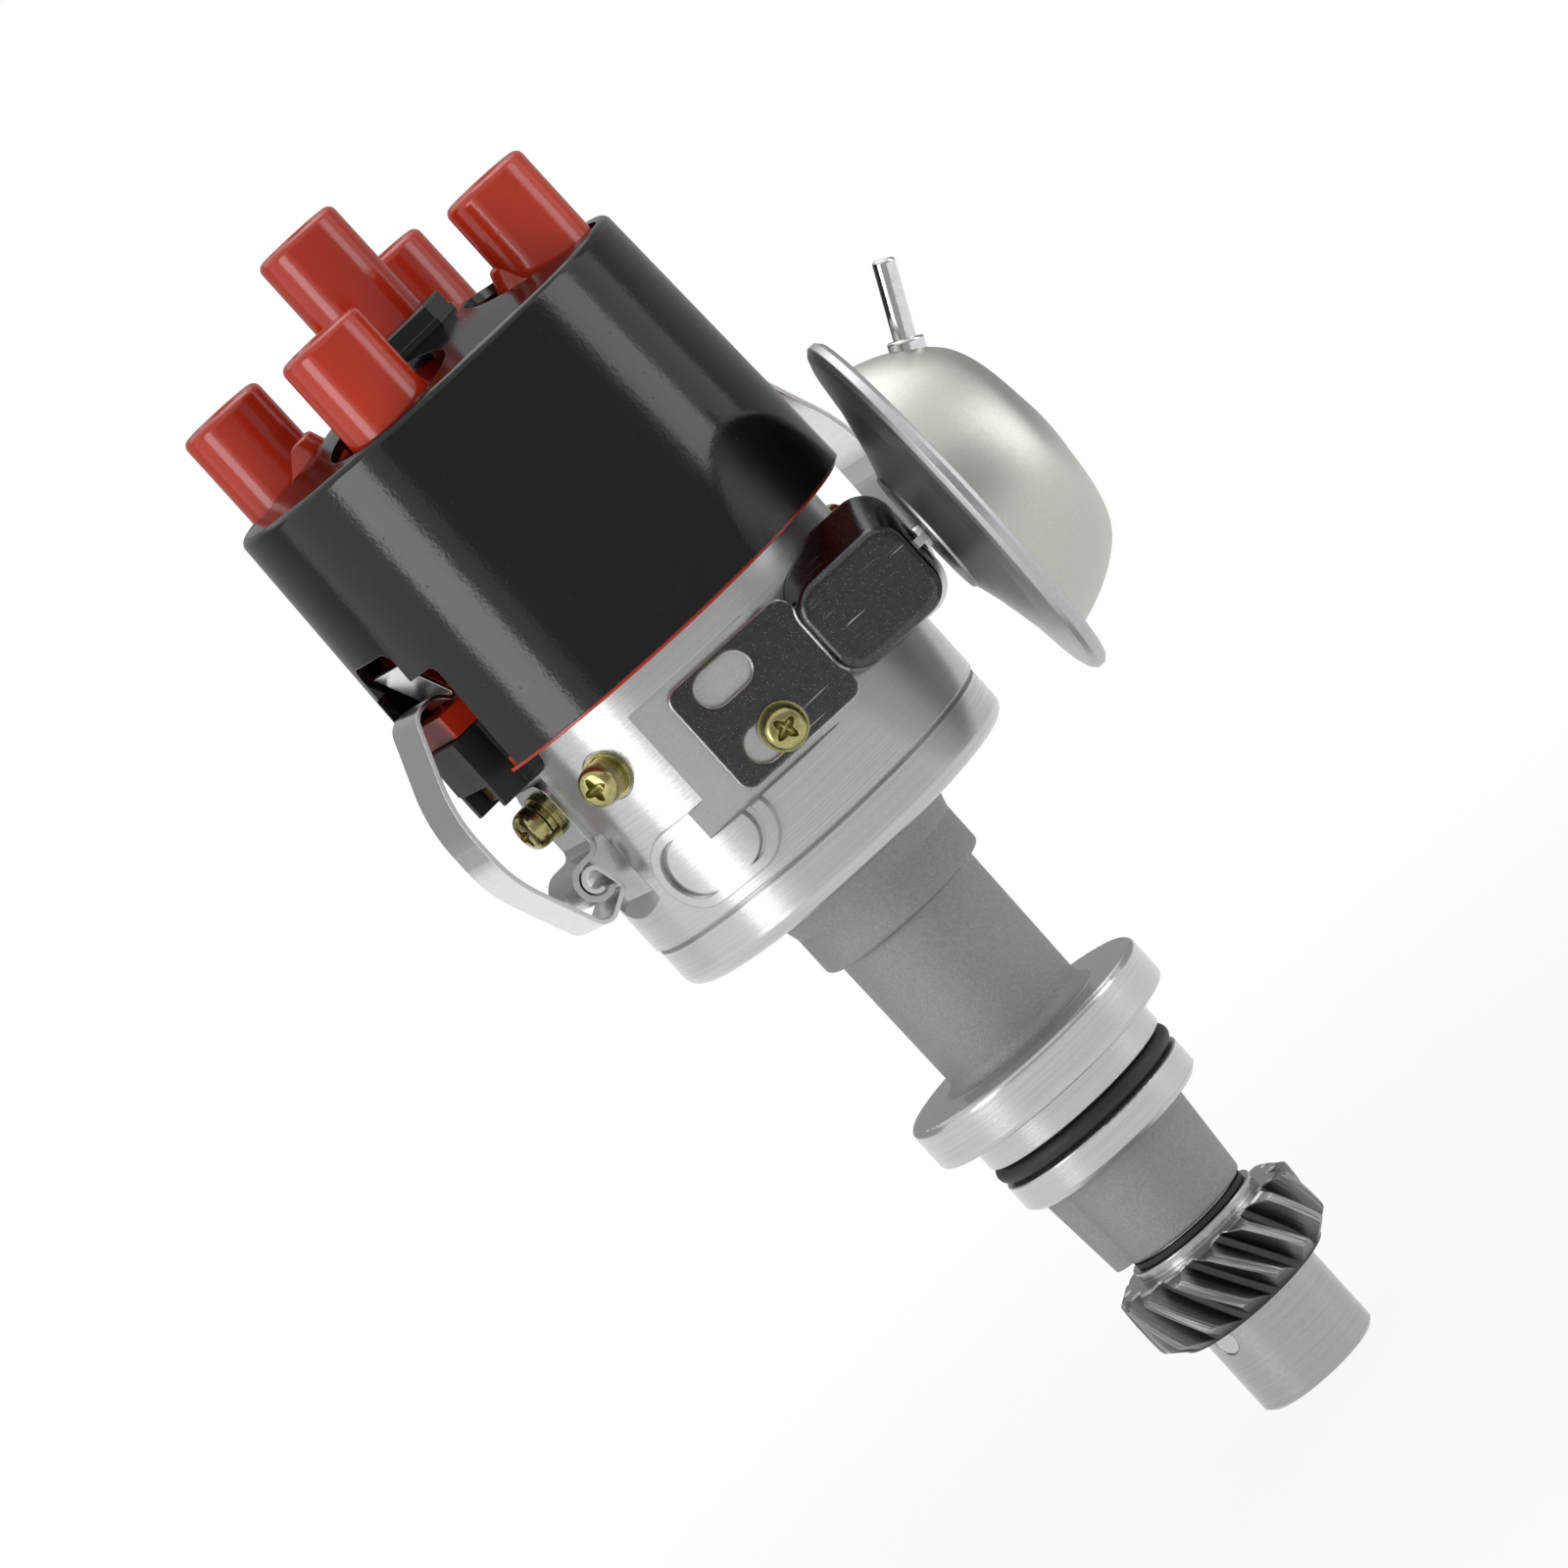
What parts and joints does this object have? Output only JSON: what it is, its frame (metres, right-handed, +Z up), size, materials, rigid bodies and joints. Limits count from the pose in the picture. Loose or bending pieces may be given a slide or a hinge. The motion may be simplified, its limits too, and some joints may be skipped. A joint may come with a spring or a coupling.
{
  "type": "ignition distributor",
  "caption": "Ignition distributor: aluminium housing with helical drive gear, red cap in a black cover with lead sockets, wire-formed spring clips and a round vacuum advance unit.",
  "frame": {"origin": "centre of the mounting flange's underside, on the shaft axis", "axes": "+Z up the shaft towards the cap, -Y towards the screwed face of the vacuum bracket, +X towards the vacuum unit"},
  "size_m": [0.1217, 0.1051, 0.2599],
  "materials": {
    "turned_aluminium": "turned bowl, flange and pilot, sand-cast shank",
    "sintered_bronze": "plain bushes",
    "black_rubber": "matte",
    "fibre": "pressed fibre",
    "ground_steel": "ground",
    "gear_steel": "oiled, bright on the tooth crests",
    "sintered_steel": "sintered",
    "spring_steel": "drawn wire",
    "clip_stainless": "rolled strip",
    "zinc_plate": "polished zinc plate with fine scratches",
    "yellow_zinc": "yellow passivated zinc",
    "dome_steel": "satin, slightly beige",
    "red_plastic": "moulded, glossy",
    "black_plastic": "moulded, glossy with a slight orange peel",
    "grey_black_plastic": "moulded, matte",
    "rotor_plastic": "moulded",
    "contact_brass": "bright",
    "terminal_aluminium": "turned",
    "copper_coil": "taped winding",
    "magnet": "ferrite",
    "carbon": "pressed carbon",
    "felt": "oiled felt",
    "diaphragm_rubber": "fabric-backed rubber"
  },
  "bodies": {
    "housing": {"housing_casting": "turned_aluminium", "upper_bush": "sintered_bronze", "lower_bush": "sintered_bronze", "o_ring": "black_rubber", "thrust_shim": "ground_steel", "fibre_washer": "fibre", "upper_shim": "fibre", "base_plate": "zinc_plate", "plate_retainer": "spring_steel", "dust_cover": "grey_black_plastic", "cap_moulding": "red_plastic", "outer_terminals": "terminal_aluminium", "centre_terminal": "terminal_aluminium", "brush_spring": "spring_steel", "cap_shield": "black_plastic", "lock_ring": "black_plastic", "connector_socket": "grey_black_plastic", "connector_blades": "contact_brass", "clip_bracket_left": "zinc_plate", "clip_bracket_right": "zinc_plate", "flat_washers": "yellow_zinc", "spring_washers": "yellow_zinc", "pan_screws": "yellow_zinc", "vacuum_bracket": "zinc_plate", "vacuum_front_shell": "zinc_plate", "vacuum_rear_dome": "dome_steel", "vacuum_nipple": "dome_steel", "diaphragm": "diaphragm_rubber", "return_spring": "spring_steel"},
    "drive_shaft": {"drive_shaft": "ground_steel", "drive_gear": "gear_steel", "gear_pin": "ground_steel", "weight_carrier": "zinc_plate", "weight_pivots": "ground_steel", "advance_spring_a": "spring_steel", "advance_spring_b": "spring_steel", "sleeve_circlip": "spring_steel", "felt_wick": "felt"},
    "advance_sleeve": {"advance_sleeve": "ground_steel", "cam_plate": "zinc_plate", "trigger_wheel": "sintered_steel", "rotor_arm": "rotor_plastic", "rotor_electrode": "contact_brass"},
    "flyweight_a": {"flyweight_a": "sintered_steel"},
    "flyweight_b": {"flyweight_b": "sintered_steel"},
    "pickup_plate": {"pickup_plate": "zinc_plate", "pickup_coil": "copper_coil", "magnet_ring": "magnet", "stator_ring": "sintered_steel"},
    "pull_rod": {"pull_rod": "zinc_plate", "diaphragm_plates": "zinc_plate"},
    "clip_left": {"spring_clip_left": "clip_stainless"},
    "clip_right": {"spring_clip_right": "clip_stainless"},
    "carbon_brush": {"carbon_brush": "carbon"}
  },
  "joints": [
    {"name": "shaft_spin", "type": "hinge", "parent": "housing", "child": "drive_shaft", "pos_m": [0, 0, 0], "axis": [0, 0, 1], "continuous": true},
    {"name": "advance_turn", "type": "hinge", "parent": "drive_shaft", "child": "advance_sleeve", "pos_m": [0, 0, 0.085], "axis": [0, 0, 1], "range_deg": [0, 12.5], "deforming": ["advance_spring_a", "advance_spring_b"]},
    {"name": "weight_a_swing", "type": "hinge", "parent": "drive_shaft", "child": "flyweight_a", "pos_m": [0.02, 0, 0.0643], "axis": [0, 0, -1], "range_deg": [0, 12]},
    {"name": "weight_b_swing", "type": "hinge", "parent": "drive_shaft", "child": "flyweight_b", "pos_m": [-0.02, 0, 0.0643], "axis": [0, 0, -1], "range_deg": [0, 12]},
    {"name": "pickup_plate_turn", "type": "hinge", "parent": "housing", "child": "pickup_plate", "pos_m": [0, 0, 0.0805], "axis": [0, 0, 1], "range_deg": [0, 8]},
    {"name": "pull_rod_slide", "type": "slide", "parent": "housing", "child": "pull_rod", "axis": [0.9994, 0.0349, 0], "range_m": [0, 0.00392], "deforming": ["diaphragm", "return_spring"]},
    {"name": "clip_left_open", "type": "hinge", "parent": "housing", "child": "clip_left", "pos_m": [-0.03727, -0.01506, 0.0792], "axis": [0.3746, -0.9272, 0], "range_deg": [0, 60]},
    {"name": "clip_right_open", "type": "hinge", "parent": "housing", "child": "clip_right", "pos_m": [0.03582, 0.01825, 0.0792], "axis": [-0.454, 0.891, 0], "range_deg": [0, 60]},
    {"name": "brush_slide", "type": "slide", "parent": "housing", "child": "carbon_brush", "axis": [0, 0, 1], "range_m": [0, 0.0015], "stiffness_N_per_m": 150, "deforming": ["brush_spring"]}
  ],
  "couplings": [
    {"joint": "weight_a_swing", "follows": "advance_turn", "ratio": 0.96},
    {"joint": "weight_b_swing", "follows": "advance_turn", "ratio": 0.96},
    {"joint": "pull_rod_slide", "follows": "pickup_plate_turn", "m_per_rad": 0.028}
  ]
}
